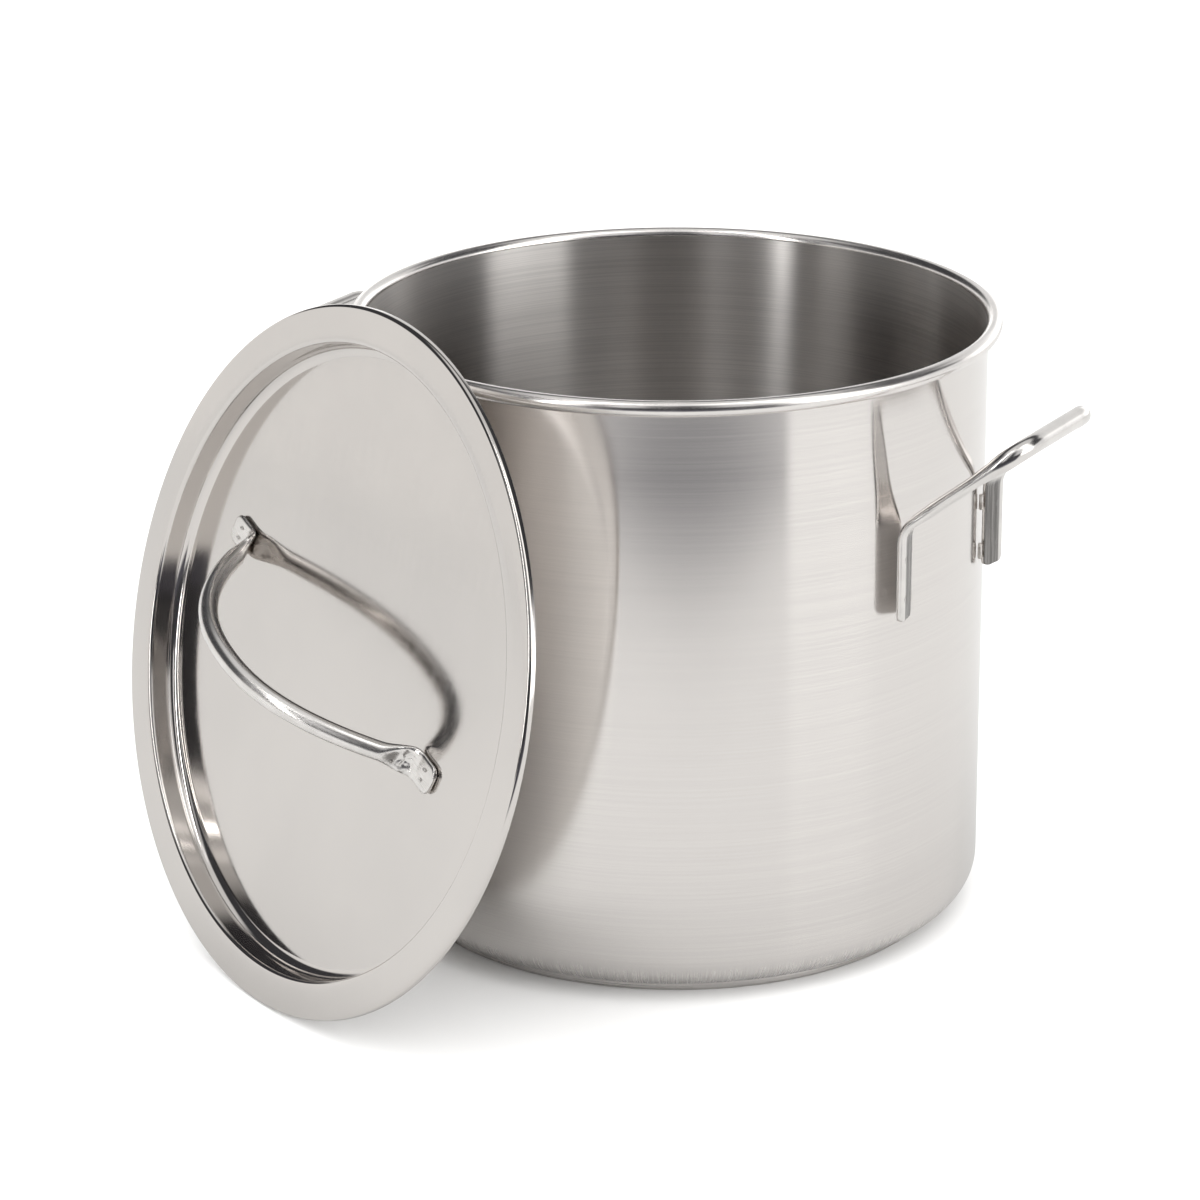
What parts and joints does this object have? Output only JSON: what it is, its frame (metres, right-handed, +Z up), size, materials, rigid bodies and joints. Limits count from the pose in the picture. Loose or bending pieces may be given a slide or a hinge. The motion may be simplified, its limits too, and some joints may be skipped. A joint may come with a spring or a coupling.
{
  "type": "stock pot with lid",
  "caption": "Round stainless stock pot with rolled rim, bonded base and two welded tube lifting handles, and a loose recessed lid with an arched tube handle, leaning on the rim.",
  "frame": {"origin": "middle of the base, on the surface that the pot stands on", "axes": "+Z up along the pot's own axis; the two lifting handles are on +X and -X; the lid leans on the -Y side, towards -X"},
  "size_m": [0.4119, 0.3922, 0.3009],
  "materials": {
    "pot_steel": "satin, brushed round the wall",
    "base_steel": "satin, brushed in circles",
    "core_aluminium": "plain, sealed in the base",
    "tube_steel": "polished stainless tube",
    "lid_steel": "smooth, nearly mirror bright in the recess, satin on the flange",
    "weld_steel": "as welded"
  },
  "bodies": {
    "pot": {"pot_body": "pot_steel", "base_core": "core_aluminium", "base_cap": "base_steel", "side_handle_right": "tube_steel", "side_handle_left": "tube_steel", "weld_right_1": "weld_steel", "weld_right_2": "weld_steel", "weld_right_3": "weld_steel", "weld_right_4": "weld_steel", "weld_left_1": "weld_steel", "weld_left_2": "weld_steel", "weld_left_3": "weld_steel", "weld_left_4": "weld_steel"},
    "lid": {"lid_panel": "lid_steel", "lid_handle": "tube_steel", "lid_weld_1": "weld_steel", "lid_weld_2": "weld_steel", "lid_weld_3": "weld_steel", "lid_weld_4": "weld_steel"}
  },
  "joints": [
    {"name": "lid_lift", "type": "slide", "parent": "pot", "child": "lid", "axis": [-0.3917, -0.8882, 0.2402], "range_m": [0, 0.3]}
  ]
}
